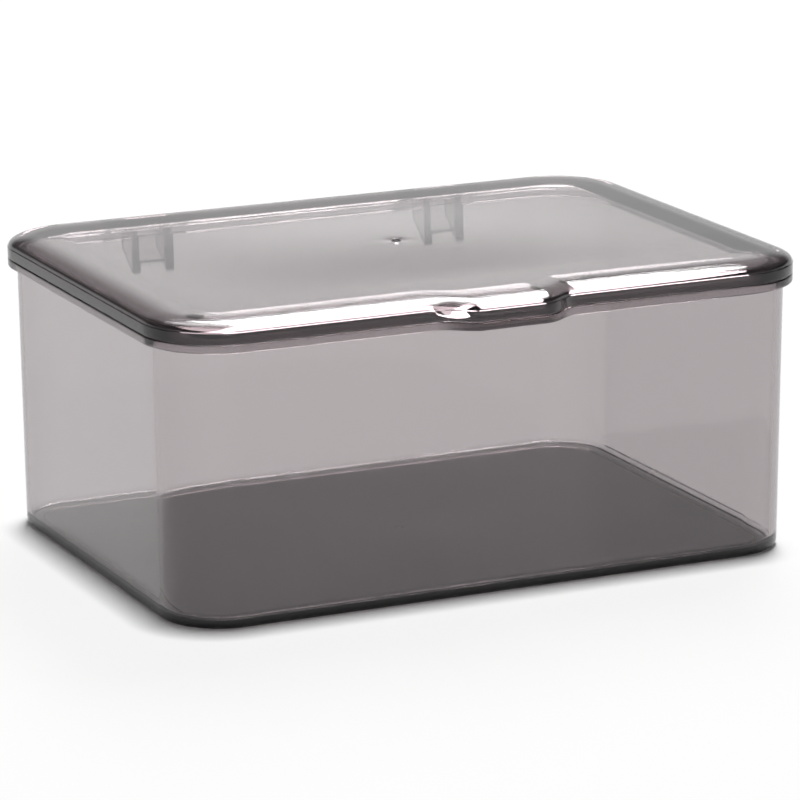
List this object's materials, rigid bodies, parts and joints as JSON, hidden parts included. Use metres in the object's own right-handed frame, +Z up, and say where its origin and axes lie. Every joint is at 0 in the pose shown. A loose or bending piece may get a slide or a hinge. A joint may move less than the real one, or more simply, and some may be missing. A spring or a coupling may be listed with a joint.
{
  "type": "hinged storage box",
  "caption": "Clear smoke-tinted plastic storage box with rounded corners, a rim flange, a flat lid on two rear pin hinges and a finger tab at the front.",
  "frame": {"origin": "on the surface that the box stands on, under the middle of the whole object, hinges and finger tab included", "axes": "+Z up, -Y towards the front with the finger tab, +X to the right as seen from the front"},
  "size_m": [0.2416, 0.1921, 0.1067],
  "materials": {
    "smoke_body": "transparent smoke grey, polished",
    "smoke_lid": "transparent smoke grey, polished",
    "smoke_pin": "transparent smoke grey, polished"
  },
  "bodies": {
    "box": {"box_body": "smoke_body", "hinge_pin_left": "smoke_pin", "hinge_pin_right": "smoke_pin"},
    "lid": {"lid": "smoke_lid"}
  },
  "joints": [
    {"name": "lid_hinge", "type": "hinge", "parent": "box", "child": "lid", "pos_m": [0, 0.09295, 0.0984], "axis": [-1, 0, 0], "range_deg": [0, 110]}
  ]
}
